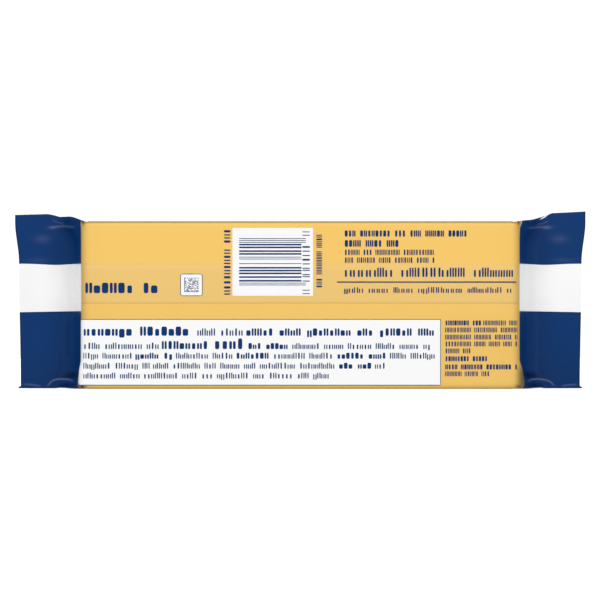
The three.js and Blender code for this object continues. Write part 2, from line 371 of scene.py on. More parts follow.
# Studio: each soft light's power setting, azimuth (0 in front of the block, 90 to its right), elevation,
# width and height, and whether the film mirrors it.
LIGHTS = {
    "left_light": ("side_power", -27.0, 14.0, (0.9, 0.9), False),
    "right_light": ("side_power", 27.0, 14.0, (0.9, 0.9), False),
    "top_light": ("top_power", 0.0, 54.0, (1.0, 0.5), True),
    "left_flank_light": ("flank_power", -96.0, 24.0, (0.9, 0.9), False),
    "right_flank_light": ("flank_power", 96.0, 24.0, (0.9, 0.9), False),
    "left_back_light": ("back_power", -153.0, 14.0, (0.9, 0.9), False),
    "right_back_light": ("back_power", 153.0, 14.0, (0.9, 0.9), False),
}
LIGHT_DISTANCE = 2.2
SEEN_SKY = 1.1
MIRRORED_SKY = 0.12
WHITE = (1.0, 1.0, 1.0)
FLOOR_GREY = (0.9, 0.9, 0.9)
FLOOR_ROUGHNESS = 0.9
FLOOR_GLOSS = 0.1
FLOOR_GLOW = 0.45
FLOOR_POINTS = 128
SENSOR_WIDTH = 36.0
CLIP_DISTANCES = 4
AIM_X = -0.09 * MM
AIM_Z = 26.72 * MM


def length(name, description, default):
    """A property that holds a length in metres."""
    return FloatProperty(name=name, description=description, default=default, min=0.0, unit="LENGTH")


def colour(name, description, default):
    """A property that holds a linear colour."""
    return FloatVectorProperty(
        name=name, description=description, default=default, min=0.0, max=1.0, subtype="COLOR"
    )


def power(name, description, default):
    """A property that holds a light's power in watts."""
    return FloatProperty(name=name, description=description, default=default, min=0.0, unit="POWER")


class FilmSettings(bpy.types.PropertyGroup):
    """Sizes of the wrapped block and its film."""

    block_length: length(
        "Block length", "Length of the cheese block", 2 * (BLOCK_HIGH.x - FIN_REACH_AT_TOP)
    )
    block_height: length("Block height", "Height of the block on its narrow side", 50.37 * MM)
    block_depth: length("Block depth", "Depth of the block between its two faces", 2 * BLOCK_HIGH.y)
    long_edge_radius: length("Long edge radius", "Rounding of the block's long edges", 1.2 * MM)
    corner_bulge: length("Corner bulge", "Swelling of the end edges near the foot", 1.0 * MM)
    fin_thickness: length("Fin thickness", "Thickness of the pressed end fins", 0.5 * MM)
    fin_wave: length("Fin wave", "Swing of the end fins through the depth", 0.7 * MM)
    tuck_wall: length("Tuck wall", "Thickness of the film at a folded edge", 0.35 * MM)
    seam_step: length("Seam step", "Thickness of the lap seam over the face", 0.15 * MM)


class InkSettings(bpy.types.PropertyGroup):
    """Colours of the film's print, and of the shade and highlights painted on it."""

    yellow: colour("Yellow", "Printed ground of the film", (0.875, 0.552, 0.137))
    seam_yellow: colour("Seam yellow", "Ground where the film lies double", (0.81, 0.535, 0.170))
    # Painted shade: the colour that the yellow is painted towards where the film turns away from the light.
    painted_shade_yellow: colour("Painted shade yellow", "Ground as it turns over an edge", (0.14, 0.095, 0.035))
    navy: colour("Navy", "Ends of the film and dark print", (0.002, 0.035, 0.150))
    # Painted shade: navy painted darker in the fins' hollows, along their free edges and low down.
    painted_shade_navy: colour("Painted shade navy", "Navy in the hollows of the ends", (0.001, 0.008, 0.038))
    # Painted highlight: pale navy for glints along creases and on swellings, and for whitened ink at sharp
    # creases.
    glint_and_whitened_navy: colour("Glint and whitened navy", "Navy along sharp creases", (0.20, 0.22, 0.35))
    white: colour("White", "Stripe on the ends and white panels", (0.895, 0.895, 0.895))


class PrintSettings(bpy.types.PropertyGroup):
    """How the print lies on the film."""

    rim_lift: length("Rim lift", "Height of a panel's dark rim over the film", 0.02 * MM)
    panel_lift: length("Panel lift", "Height of the white panels over the film", 0.04 * MM)
    mark_lift: length("Mark lift", "Height of the small marks over the film", 0.065 * MM)
    sunk: length("Sunk", "How deep the print's underside lies in the film", 0.05 * MM)
    rim_width: length("Rim width", "Width of a panel's dark rim", 0.2 * MM)
    seed: IntProperty(name="Seed", description="Draw of the codes and the small print", default=5)


class StudioSettings(bpy.types.PropertyGroup):
    """Camera and light of the studio."""

    camera_distance: length("Camera distance", "From the camera to the block's face", 3.0)
    view_width: length("View width", "Width that the camera sees at the block's face", 180.0 * MM)
    floor_radius: length("Floor radius", "Radius of the pale floor", 1.6)
    side_power: power("Side power", "Power of each soft light in front, left and right", 14.5)
    top_power: power("Top power", "Power of the soft light in front and overhead", 12.0)
    flank_power: power("Flank power", "Power of each soft light at the sides", 11.5)
    back_power: power("Back power", "Power of each soft light behind, left and right", 12.0)
    ambient: FloatProperty(
        name="Ambient", description="Strength of the even light from all sides", default=0.43
    )


def mix(start, end, share):
    """The value at a share of the way from the start to the end."""
    return start + (end - start) * share


def ramp(start, end, value):
    """Rises smoothly from 0 at one value to 1 at the other."""
    share = np.clip((value - start) / (end - start), 0.0, 1.0)
    return share * share * (3.0 - 2.0 * share)


def bell(distance):
    """1 at no distance, falling smoothly to 0 around it."""
    return np.exp(-distance * distance)


def by_end(left, law, *values):
    """Values of a law for the left end at the points where `left` holds, and for the right end elsewhere."""
    return np.where(left, law(LEFT, *values), law(RIGHT, *values))


def smooth_line(points):
    """A smooth line through a few points, as many short straight ones."""
    known = np.array(points, float)
    ends = np.vstack([2 * known[0] - known[1], known, 2 * known[-1] - known[-2]])
    line = [known[0]]
    for before, start, end, after in zip(ends, ends[1:], ends[2:], ends[3:]):
        bend = 2 * before - 5 * start + 4 * end - after
        twist = 3 * start - before - 3 * end + after
        for step in range(1, CREASE_STEPS + 1):
            t = step / CREASE_STEPS
            line.append(0.5 * (2 * start + (end - before) * t + bend * t**2 + twist * t**3))
    return np.array(line)


def line_distance(line, u, z):
    """Distance from points (u, z) to a line, less than 0 on its left, and distance to its nearer end."""
    nearest = np.full(u.shape, np.inf)
    along_there = np.zeros(u.shape)
    steps = np.linalg.norm(np.diff(line, axis=0), axis=1)
    travelled = np.concatenate([[0.0], np.cumsum(steps)])
    for start, end, step, before in zip(line, line[1:], steps, travelled):
        direction = (end - start) / step
        out, up = u - start[0], z - start[1]
        along = np.clip(out * direction[0] + up * direction[1], 0.0, step)
        away = np.hypot(out - along * direction[0], up - along * direction[1])
        closer = away < abs(nearest)
        side = np.where(direction[0] * up - direction[1] * out > 0, -1, 1)
        nearest = np.where(closer, side * away, nearest)
        along_there = np.where(closer, before + along, along_there)
    return nearest, np.minimum(along_there, travelled[-1] - along_there)


CREASE_LINES = {
    end: [
        (smooth_line(points) * MM, height * MM, np.array(widths) * MM, painted_light_and_whitening)
        for points, (height, widths, painted_light_and_whitening) in zip(lines, CREASE_KINDS)
    ]
    for end, lines in CREASES.items()
}


def film_stops():
    """Stops along the film past the block's corner: the stretch of its path and the share covered."""
    stops = [("corner", 0.0)]
    for stretch, count in STRETCHES:
        stops += [(stretch, (step + 1) / count) for step in range(count)]
    return stops


def in_bulge(z):
    """1 through most of the height of the bulge near the foot, 0 above and below it."""
    level = (z - CORNER_BULGE_HEIGHT) / CORNER_BULGE_SPREAD
    return bell(level * level)


def fold_share(stop):
    """How far a stop has turned from the rounded edge of the block into the thin fold of the fin."""
    stretch, share = stop
    return float(ramp(0.0, 1.0, share)) if stretch == "corner" else 1.0


def top_rise(end, side, u):
    """Rise of a fin's top edge over the block, at a reach past it."""
    near, far, tilt, back = LIP_RISE[end]
    outer = np.maximum(0.0, u - FAR_RISE[1]) / (FIN_REACH_AT_TOP - FAR_RISE[1])
    behind = back * bell((u - BACK_LIP_MIDDLE) / BACK_LIP_SPREAD) if side == BACK else 0.0
    return near * ramp(*NEAR_RISE, u) + far * ramp(*FAR_RISE, u) + tilt * outer + behind


def end_face(tucked):
    """How far out and down the narrow side is after it bends over the end of the block."""
    bent = min(tucked, TOP_END_RADIUS * math.pi / 2)
    angle = bent / TOP_END_RADIUS
    out = -TUCK_RECESS - TOP_END_RADIUS * (1 - math.sin(angle))
    return out, TOP_END_RADIUS * (1 - math.cos(angle)) + tucked - bent


def spot(u, z, middle, spread):
    """1 at a fin's place (reach, height) in millimetres, falling to 0 around it."""
    return bell(np.hypot((u / MM - middle[0]) / spread[0], (z / MM - middle[1]) / spread[1]))


def crease_profiles(end, u, z):
    """Each crease of a fin as its share at the points, its height and its painted light: highlight above 0,
    with whitened ink at sharp creases, and shade below 0.
    """
    for line, height, (above, below), painted_light_and_whitening in CREASE_LINES[end]:
        away, to_end = line_distance(line, u, z)
        yield ramp(0.0, CREASE_FADE, to_end) * bell(away / np.where(away > 0, above, below)), height, painted_light_and_whitening


def fin_relief(end, u, z):
    """Creases and swellings of a fin's faces."""
    total = sum(share * height for share, height, _ in crease_profiles(end, u, z))
    total += sum(height * MM * spot(u, z, middle, spread) for middle, spread, height in SWELLINGS)
    return total * ramp(*CREASE_REACH, u)


def fin_glint_and_shade(end, u, z, from_rim):
    """How far the fin's navy is painted pale as highlight, with whitened ink at sharp creases, and painted
    dark as shade: two shares.
    """
    changes = [share * painted_light_and_whitening for share, _, painted_light_and_whitening in crease_profiles(end, u, z)]
    changes += [share * spot(u, z, middle, spread) for middle, spread, share in PAINTED_LIGHT_PATCHES]
    lit, dark = 1.0, 1.0 - FIN_RIM_SHADE * (1 - ramp(*FIN_RIM, from_rim))
    for change in changes:
        lit = lit * (1 - np.maximum(0.0, change))
        dark = dark * (1 - np.maximum(0.0, -change))
    return 1 - lit, 1 - dark


def over_seam_edge(edge, z):
    """Rises from 0 below an edge of the lap seam to 1 above it."""
    return ramp(edge - SEAM_EDGE, edge + SEAM_EDGE, z)


def seam_share(z):
    """1 on the lap seam, 0 above and below it."""
    return over_seam_edge(SEAM_LOW, z) * (1 - over_seam_edge(SEAM_HIGH, z))


def seam_rise(z):
    """The lap seam's share of its thickness: a free edge at its foot and a soft slope at its top."""
    return over_seam_edge(SEAM_LOW, z) * (1 - ramp(SEAM_HIGH - SEAM_SLOPE, SEAM_HIGH, z))


def seam_levels():
    """Heights at which the lap seam's edges and slope turn."""
    edges = [edge + way * SEAM_EDGE for edge in (SEAM_LOW, SEAM_HIGH) for way in (-1, 0, 1)]
    shares = np.linspace(1.0 / SEAM_SLOPE_ROWS, 1.0, SEAM_SLOPE_ROWS)
    return edges + list(SEAM_HIGH - SEAM_SLOPE * shares)


class Film:
    """Where the film lies, worked out from its sizes by the same law as the solid."""

    def __init__(self, sizes):
        self.half_length = sizes.block_length / 2
        self.half_depth = sizes.block_depth / 2
        self.half_fin = sizes.fin_thickness / 2
        self.height = sizes.block_height
        self.sizes = sizes
        self.stops = film_stops()
        self.tucked = [self.half_depth - float(self.path(s, self.height)[1]) for s in self.stops]
        self.last_open = self.stops.index(("root", 1.0))
        self.row_widths = np.array([*self.tucked[: self.last_open + 1], self.half_depth])
        self.levels = self.column_levels()
        self.reaches = self.film_lengths()

    def slant(self, z):
        """The film's slant over the end: steep at mid height, flaring at the top and foot."""
        from_edge = self.height / 2 - abs(z - self.height / 2)
        return mix(LIP_SLANT, END_SLANT, ramp(0.0, FLARE_HEIGHT, from_edge))

    def fin_reach(self, z):
        """Reach of the fin's free edge, which splays at its top and has a small spur at its foot."""
        lower = mix(FIN_REACH, FIN_REACH_AT_WAIST, ramp(0.0, FIN_WAIST, z))
        spur = FOOT_SPUR * (1 - ramp(*FOOT_SPUR_ZONE, z))
        return mix(lower, FIN_REACH_AT_TOP, ramp(FIN_WAIST, self.height, z)) + spur

    def slant_drop(self, slant):
        """How far in the film comes between the rounded end edge and the fin's rounded root."""
        return self.half_depth - self.half_fin - (END_EDGE_RADIUS + ROOT_RADIUS) * (1 - np.cos(slant))

    def slant_length(self, z):
        """Length of film between the rounded end edge and the fin's rounded root."""
        slant = self.slant(z)
        return self.slant_drop(slant) / np.sin(slant)

    def bulge(self, stop, z):
        """How far the film swells outward near the foot: most at the block's end edge."""
        stretch, share = stop
        part = {"corner": share, "slant": 1 - share}.get(stretch, 0.0)
        return self.sizes.corner_bulge * part * in_bulge(z)

    def path(self, stop, z, bulging=1.0):
        """Reach past the block, half depth and heading of one face's film at height z."""
        slant = self.slant(z)
        drop = self.slant_drop(slant)
        run = drop / np.tan(slant)
        corner_reach = -END_EDGE_RADIUS * (1 - np.sin(slant))
        root_reach = corner_reach + run + ROOT_RADIUS * np.sin(slant)
        stretch, share = stop
        if stretch == "corner":
            heading = slant * share
            u = END_EDGE_RADIUS * (np.sin(heading) - 1)
            half = self.half_depth - END_EDGE_RADIUS * (1 - np.cos(heading))
        elif stretch == "slant":
            heading = slant
            u = corner_reach + run * share
            half = self.half_depth - END_EDGE_RADIUS * (1 - np.cos(slant)) - drop * share
        elif stretch == "root":
            heading = slant * (1 - share)
            u = root_reach - ROOT_RADIUS * np.sin(heading)
            half = self.half_fin + ROOT_RADIUS * (1 - np.cos(heading))
        else:
            heading = 0.0 * slant
            u = mix(root_reach, self.fin_reach(z), share)
            half = self.half_fin + heading
        return u + bulging * self.bulge(stop, z), half, heading

    def front(self, along, z, lift):
        """Points over the front face, at a place along the film measured from the middle."""
        on_left = along < 0
        bend = self.half_length - END_EDGE_RADIUS
        past = np.maximum(0.0, abs(along) - bend)
        bent = END_EDGE_RADIUS * self.slant(z)
        bulging = by_end(on_left, CORNER_BULGE_SHARE.get)
        around = self.path(("corner", np.minimum(1.0, past / bent)), z, bulging)
        beyond = self.path(("slant", (past - bent) / self.slant_length(z)), z, bulging)
        u, half, heading = np.where(past < bent, around, beyond)
        u = np.where(past > 0, u, abs(along) - self.half_length)
        out = u + lift * np.sin(heading)
        seam = self.sizes.seam_step * seam_rise(z)
        y = -(half + seam + by_end(on_left, fin_relief, u, z) + lift * np.cos(heading))
        x = np.where(on_left, LEFT, RIGHT) * (self.half_length + out)
        return np.stack([x, y, z], axis=-1)

    def film_lengths(self):
        """Length of film from the start of the rounded end edge to each stop, at mid height."""
        places = np.array([[float(v) for v in self.path(s, self.height / 2)[:2]] for s in self.stops])
        steps = np.linalg.norm(np.diff(places, axis=0), axis=1)
        return np.concatenate([[0.0], np.cumsum(steps)])

    def column_levels(self):
        """Levels of the upright film, closer near its top and foot, with a step at each seam edge."""
        share = np.linspace(0.0, 1.0, COLUMN_ROWS)
        share = mix((1 - np.cos(math.pi * share)) / 2, share, EVEN_SHARE)
        levels = mix(COLUMN_MARGIN, self.height - COLUMN_MARGIN, share)
        return np.unique(np.concatenate([levels, seam_levels()]))

    def placed(self, end, side, u, half, z):
        """Points of one face's film, which swings with the fin's wave farther out."""
        share = ramp(ROOT_RADIUS, FIN_REACH, u)
        swing = np.sin(2 * math.pi * z / FIN_WAVE_LENGTH + FIN_WAVE_PHASE[end])
        y = side * half + self.sizes.fin_wave * share * swing
        return np.stack([end * (self.half_length + u), y, z], axis=-1)

    def edge_height(self, end, side, stop, way):
        """Height of the folded edge at the top or foot of a stop."""
        edge = self.height if way == TOP else 0.0
        u = float(self.path(stop, edge, CORNER_BULGE_SHARE[end])[0])
        if way == TOP:
            return self.height + top_rise(end, side, u)
        return FIN_FOOT_GAP * ramp(*FOOT_RISE, u)

    def column(self, end, side, stop):
        """The upright film at one stop."""
        margin = mix(COLUMN_MARGIN, FIN_MARGIN, fold_share(stop))
        top = self.edge_height(end, side, stop, TOP) - margin - (self.height - COLUMN_MARGIN)
        foot = self.edge_height(end, side, stop, FOOT) + margin - COLUMN_MARGIN
        near_top = ramp(self.height - SHIFTED_ZONE, self.height - FULLY_SHIFTED, self.levels)
        near_foot = 1 - ramp(FULLY_SHIFTED, SHIFTED_ZONE, self.levels)
        z = self.levels + top * near_top + foot * near_foot
        u, half, _ = self.path(stop, z, CORNER_BULGE_SHARE[end])
        seam = self.sizes.seam_step * seam_rise(z) if side == FRONT else 0.0
        on_face = 1 - ramp(0.0, CREASE_REACH[1], u)
        return self.placed(end, side, u, half + seam * on_face + fin_relief(end, u, z), z)

    def tuck(self, end, side, index, way):
        """The folded-in narrow side at one stop, from the face's edge to the middle of the depth."""
        stop = self.stops[index]
        width = self.row_widths
        tucked = self.tucked[min(index, self.last_open)]
        fold = fold_share(stop)
        closing = ramp(TUCK_FULL_DEPTH, self.tucked[self.last_open], tucked)
        here = self.edge_height(end, side, stop, way)
        across = self.edge_height(end, -side, stop, way)
        to_middle = width / self.half_depth
        edge = mix(here, (here + across) / 2, to_middle)
        out, down = end_face(tucked)
        floor = (self.height if way == TOP else 0.0) - way * down
        inside = np.maximum(0.0, self.sizes.long_edge_radius - width)
        rounded = self.sizes.long_edge_radius - np.sqrt(self.sizes.long_edge_radius**2 - inside**2)
        folded = mix(edge, floor, width / tucked if tucked > 0 else 0.0)
        hung = mix(edge - way * rounded, folded, fold)
        behind_face = np.arange(len(width)) <= index
        crown = way * FIN_EDGE_CROWN * (1 - to_middle) ** 2
        z = mix(np.where(behind_face, hung, floor - way * rounded), edge - crown, closing)
        u, half, heading = self.path(stop, z, CORNER_BULGE_SHARE[end])
        wall = mix(width, self.sizes.tuck_wall + TUCK_WALL_GROWTH * abs(edge - z), fold)
        wall[0] = fold * self.sizes.tuck_wall / 2
        open_u = np.where(behind_face, u - wall * np.sin(heading), out)
        open_half = np.where(behind_face, half - wall * np.cos(heading), self.half_depth - width)
        return self.placed(
            end, side, mix(open_u, u, closing), mix(open_half, half * (1 - to_middle), closing), z
        )

    def half_ring(self, end, side, index):
        """Half a ring of film: up one side from the foot's middle to the top's middle."""
        foot = self.tuck(end, side, index, FOOT)[::-1]
        top = self.tuck(end, side, index, TOP)
        return np.vstack([foot, self.column(end, side, self.stops[index]), top])

    def rings(self):
        """Rings of film from the left fin's end to the right fin's end, with their film lengths."""
        stops = range(len(self.stops))
        sides = {
            end: np.array([[self.half_ring(end, side, i) for side in (FRONT, BACK)] for i in stops])
            for end in (LEFT, RIGHT)
        }
        spans = np.arange(1, BODY_SPANS)
        between = mix(sides[LEFT][0], sides[RIGHT][0], (spans / BODY_SPANS)[:, None, None, None])
        halves = np.concatenate([sides[LEFT][::-1], between, sides[RIGHT]])
        rings = np.concatenate([halves[:, 0], halves[:, 1, -2:0:-1]], axis=1)
        inside = -np.minimum(spans, BODY_SPANS - spans) / BODY_SPANS * self.sizes.block_length
        lengths = np.concatenate([self.reaches[::-1], inside, self.reaches])
        return rings, lengths, halves.shape[2]


def film_faces(ring_total, ring_count, half_count):
    """Quads between the rings, and a ladder that closes each fin's end from front to back."""
    ring = np.arange(ring_total - 1)[:, None] * ring_count
    row = np.arange(ring_count)[None, :]
    above = (row + 1) % ring_count
    quads = np.stack(
        [ring + row, ring + ring_count + row, ring + ring_count + above, ring + above], axis=-1
    ).reshape(-1, 4)
    faces = quads.tolist()
    last = (ring_total - 1) * ring_count
    for row in range(half_count - 1):
        back, back_above = -row % ring_count, (-row - 1) % ring_count
        faces.append([row, row + 1, back_above, back])
        faces.append([last + back, last + back_above, last + row + 1, last + row])
    return [face for face in (list(dict.fromkeys(face)) for face in faces) if len(face) > 2]


def scene_object(name, data):
    """A named object of a mesh, light or camera, in the scene."""
    made = bpy.data.objects.new(name, data)
    bpy.context.scene.collection.objects.link(made)
    return made


def mesh_object(name, points, faces, material=None):
    """A named object with its place in its mesh."""
    mesh = bpy.data.meshes.new(name)
    mesh.from_pydata([tuple(p) for p in points], [], faces)
    mesh.validate()
    mesh.update()
    if material:
        mesh.materials.append(material)
    return scene_object(name, mesh)


def ink_start(end, z):
    """Film length from the start of the rounded end edge to the navy."""
    top = INK_START_AT_TOP[end] * ramp(*INK_TOP_ZONE, z)
    return INK_START[end] + top + INK_START_AT_BULGE * in_bulge(z)


def past_ink_start(end, reach, u, y, z):
    """Distance past the start of the navy, which is also painted into the notches in the front's corners as
    shadow.
    """
    past = reach - ink_start(end, z)
    for (u_middle, z_middle), radius, _ in NOTCH_SHADOWS[end]:
        inside = radius * MM - np.hypot(u - u_middle * MM, z - z_middle * MM)
        past = np.where(y - BLOCK_LOW.y < NOTCH_SHADOW_DEPTH, np.maximum(past, inside), past)
    return past


def edge_tint(end, reach, u, y, z, height):
    """How far the ground is painted darker, as shade, where the film turns over the block's edges and puckers
    there.
    """
    around_end = END_SHADE * ramp(*END_SHADE_ZONE, reach)
    depth = y - BLOCK_LOW.y
    at_top = TOP_SHADE * (1 - ramp(*TOP_SHADE_DEPTH, depth)) * (1 - ramp(*TOP_SHADE_ZONE, height - z))
    at_foot = FOOT_SHADE * (1 - ramp(*FOOT_SHADE_ZONE, z))
    low = LOW_SHADE * (1 - ramp(*LOW_SHADE_ZONE, z))
    at_corner = CORNER_SHADE * ramp(*CORNER_SHADE_ZONE, u)
    at_bulge = BULGE_SHADE * (1 - ramp(*BULGE_SHADE_DEPTH, depth)) * in_bulge(z)
    at_bulge *= ramp(*BULGE_SHADE_ZONE, u)
    # Painted shadow round the notches in the front's corners.
    at_notch = sum(spot(u, z, middle, spread) for middle, _, spread in NOTCH_SHADOWS[end])
    tints = (around_end, at_top, at_foot, low, at_corner, at_bulge, at_notch)
    return 1 - np.prod([1 - tint for tint in tints], axis=0)


def stripe_inside(u, z):
    """Distance inside the fins' white stripe, below zero outside it."""
    dip = STRIPE_DIP * bell((u - STRIPE_DIP_MIDDLE) / STRIPE_DIP_SPREAD)
    low = STRIPE_LOW - STRIPE_FALL * u / FIN_REACH
    return np.minimum(z - low, STRIPE_HIGH - dip - z)


def lip_glint_inside(end, u, y, z, height):
    """Distance inside the white painted as a highlight on the back layer, where it shows above the front's
    top edge.
    """
    front, back = [height + top_rise(end, side, u) for side in (FRONT, BACK)]
    shown = np.minimum(z - front - LIP_GLINT_GAP, back - LIP_GLINT_RIM - z)
    return np.where(y < LIP_GLINT_DEPTH, shown, -abs(shown))


def film_fields(film, points, reach):
    """What the film's material reads at each point, which lies `reach` of film past the face's flat part."""
    x, y, z = points.T
    left = x < 0
    u = abs(x) - film.half_length
    worn, dark = by_end(left, fin_glint_and_shade, u, z, film.fin_reach(z) - u)
    lip_glint = by_end(left, lip_glint_inside, u, y, z, film.height)
    return {
        "past_ink_start": by_end(left, past_ink_start, reach, u, y, z),
        # Painted highlights and painted shade on the fins' navy; the highlights also stand for whitened ink
        # at sharp creases.
        "worn": worn,
        "dark": dark,
        # stripe_inside also carries the white painted as a highlight above the front's top edge.
        "stripe_inside": np.maximum(stripe_inside(u, z), lip_glint),
        "seam_share": np.where(y < 0, seam_share(z), 0.0),
        # Painted shade on the yellow over the edges, low down, near the corners and round the bulge.
        "edge_tint": by_end(left, edge_tint, reach, u, y, z, film.height),
    }


def corner_inset(radius, from_edge):
    """How far a rounded corner pulls a panel's side in, at a distance from its top or foot."""
    inside = radius - np.minimum(radius, from_edge)
    return radius - np.sqrt(radius**2 - inside**2)


def panel_plate(film, edges, corners, lift, sunk):
    """A thin closed plate with rounded corners that follows the front of the film."""
    left, right, foot, top = edges
    widest = max(corners)
    rounded = widest * (1 - np.cos(np.linspace(0.0, math.pi / 2, CORNER_STEPS)))
    levels = np.linspace(foot + widest, top - widest, PANEL_ROWS)
    inside = [level for level in seam_levels() if foot + widest < level < top - widest]
    z = np.unique(np.concatenate([foot + rounded, levels, inside, top - rounded]))
    from_edge = np.minimum(z - foot, top - z)
    left_inset, right_inset = [corner_inset(radius, from_edge)[:, None] for radius in corners]
    bend = max(left, END_EDGE_RADIUS - film.half_length)
    columns = np.unique(
        np.concatenate([np.linspace(left, bend, BEND_COLUMNS), np.linspace(bend, right, PANEL_COLUMNS)])
    )
    share = (columns - left) / (right - left)
    along = mix(left + left_inset, right - right_inset, share[None, :])
    height = np.broadcast_to(z[:, None], along.shape)
    outer = film.front(along, height, lift).reshape(-1, 3)
    inner = film.front(along, height, -sunk).reshape(-1, 3)
    rows, count = along.shape
    grid = np.arange(rows * count).reshape(rows, count)
    quads = np.stack([grid[:-1, :-1], grid[:-1, 1:], grid[1:, 1:], grid[1:, :-1]], axis=-1).reshape(-1, 4)
    rim = np.concatenate([grid[0, :-1], grid[:-1, -1], grid[-1, :0:-1], grid[:0:-1, 0]])
    walls = np.stack([rim, rim + len(outer), np.roll(rim, -1) + len(outer), np.roll(rim, -1)], axis=-1)
    faces = np.concatenate([quads, quads[:, ::-1] + len(outer), walls])
    return np.concatenate([outer, inner]), faces


def joined(parts):
    """Points and faces of several parts as one."""
    points, faces, count = [], [], 0
    for part_points, part_faces in parts:
        points.append(part_points)
        faces += (part_faces + count).tolist()
        count += len(part_points)
    return np.concatenate(points), faces


def row_blocks(start, end, height, style, draw):
    """Blocks in word-like groups along a row: (middle, width, foot, height) of each stem."""
    pitch_share, splits, tall_share = STYLES[style]
    count = max(1, round((end - start) / (pitch_share * height)))
    pitch = (end - start) / count
    blocks = []
    still = draw.randint(*WORD_BLOCKS)
    for place in range(count):
        if still == 0 and place < count - 1:
            still = draw.randint(*WORD_BLOCKS)
            continue
        still -= 1
        widths = draw.choice(splits)
        tall = height if draw.random() < tall_share else LOW_BLOCK * height
        drop = DROP * height if tall < height and draw.random() < DROPPED_SHARE else 0.0
        middle = start + (place + 0.5) * pitch
        for stem, width in enumerate(widths):
            shift = (STEM_SPAN - width) * pitch * ((stem + 0.5) / len(widths) - 0.5)
            shift *= len(widths) / max(1, len(widths) - 1)
            blocks.append((middle + shift, width * pitch, -drop, tall + drop))
    return blocks


def blocks_of(rows, draw):
    """Every block of some rows: its row's place, then its middle, width, foot and height along the row."""
    for row, *stretches in rows:
        for stretch in stretches:
            for block in row_blocks(*stretch, draw):
                yield row, *block


def small_print(draw):
    """Small print as blocks, each (x, z, width, height) in millimetres."""
    marks = [
        (middle, level + foot + height / 2, width, height)
        for level, middle, width, foot, height in blocks_of(ROWS, draw)
    ]
    marks += [
        (right - foot - height / 2, middle, height, width)
        for right, middle, width, foot, height in blocks_of(UPRIGHT_ROWS, draw)
    ]
    return marks


def line_code(draw):
    """Bars of a made-up line code between its guards, each (x, z, width, height) in millimetres."""
    left, right, foot = LINE_CODE
    guard = (left, right + GUARD_LENGTH)
    bars = [(place, 1, guard) for place in FOOT_GUARD]
    at = FOOT_GUARD_MODULES
    for _ in range(LINE_CODE_DIGITS):
        first, second = draw.choice(BAR_MODULES), draw.choice(BAR_MODULES)
        gap = draw.randint(1, DIGIT_MODULES - first - second - 1)
        at += DIGIT_MODULES
        bars.append((at - second - gap - first, first, (left, right)))
        bars.append((at - second, second, (left, right)))
    bars += [(at + place, 1, guard) for place in TOP_GUARD]
    return [
        (
            (start + end) / 2,
            foot + (place + width / 2) * LINE_CODE_MODULE,
            end - start,
            width * LINE_CODE_MODULE - BAR_LOSS,
        )
        for place, width, (start, end) in bars
    ]


def dot_code(draw):
    """Dark cells of a made-up dot code, solid along its left and foot, as (x, z, width, height)."""
    left, foot = DOT_CODE_CORNER
    last = DOT_CODE_CELLS - 1
    marks = []
    for row in range(DOT_CODE_CELLS):
        for column in range(DOT_CODE_CELLS):
            if row == 0 or column == 0:
                dark = True
            elif row == last or column == last:
                dark = (row + column) % 2 == 0
            else:
                dark = draw.random() < DOT_CODE_DARK_SHARE
            if dark:
                x = left + (column + 0.5) * DOT_CODE_CELL
                z = foot + (row + 0.5) * DOT_CODE_CELL
                marks.append((x, z, DOT_SIZE * DOT_CODE_CELL, DOT_SIZE * DOT_CODE_CELL))
    return marks


def node(tree, kind, inputs=None, **settings):
    """Adds a node, sets it up and feeds its inputs from values or from other nodes' sockets."""
    made = tree.nodes.new(kind)
    for name, value in settings.items():
        setattr(made, name, value)
    for name, value in (inputs or {}).items():
        if isinstance(value, bpy.types.NodeSocket):
            tree.links.new(value, made.inputs[name])
        else:
            made.inputs[name].default_value = value
    return made


def calculated(tree, operation, *values):
    """The result of a Math node."""
    return node(tree, "ShaderNodeMath", dict(enumerate(values)), operation=operation).outputs[0]


def carried(tree, name):
    """A value that the film's points carry."""
    return node(tree, "ShaderNodeAttribute", attribute_name=name).outputs["Fac"]


def noise(tree, place, scale, detail):
    """Soft noise from 0 to 1."""
    inputs = {"Vector": place, "Scale": scale, "Detail": detail}
    return node(tree, "ShaderNodeTexNoise", inputs).outputs[0]


def threshold(tree, value):
    """0 below zero and 1 above it, over the narrow width of a printed edge."""
    inputs = {"Value": value, "From Min": -EDGE_WIDTH / 2, "From Max": EDGE_WIDTH / 2}
    return node(tree, "ShaderNodeMapRange", inputs, interpolation_type="SMOOTHSTEP").outputs[0]


def ranged(tree, value, low, high):
    """A value from 0 to 1, spread from low to high."""
    return node(tree, "ShaderNodeMapRange", {"Value": value, "To Min": low, "To Max": high}).outputs[0]


def opaque(value):
    """A colour with its full alpha."""
    return (*value, 1.0)


def blended(tree, share, first, second):
    """A colour between two, each a socket or a plain colour."""
    made = node(tree, "ShaderNodeMix", {"Factor": share}, data_type="RGBA")
    for place, value in ((MIX_FIRST, first), (MIX_SECOND, second)):
        if isinstance(value, bpy.types.NodeSocket):
            tree.links.new(value, made.inputs[place])
        else:
            made.inputs[place].default_value = opaque(value)
    return made.outputs[MIX_RESULT]


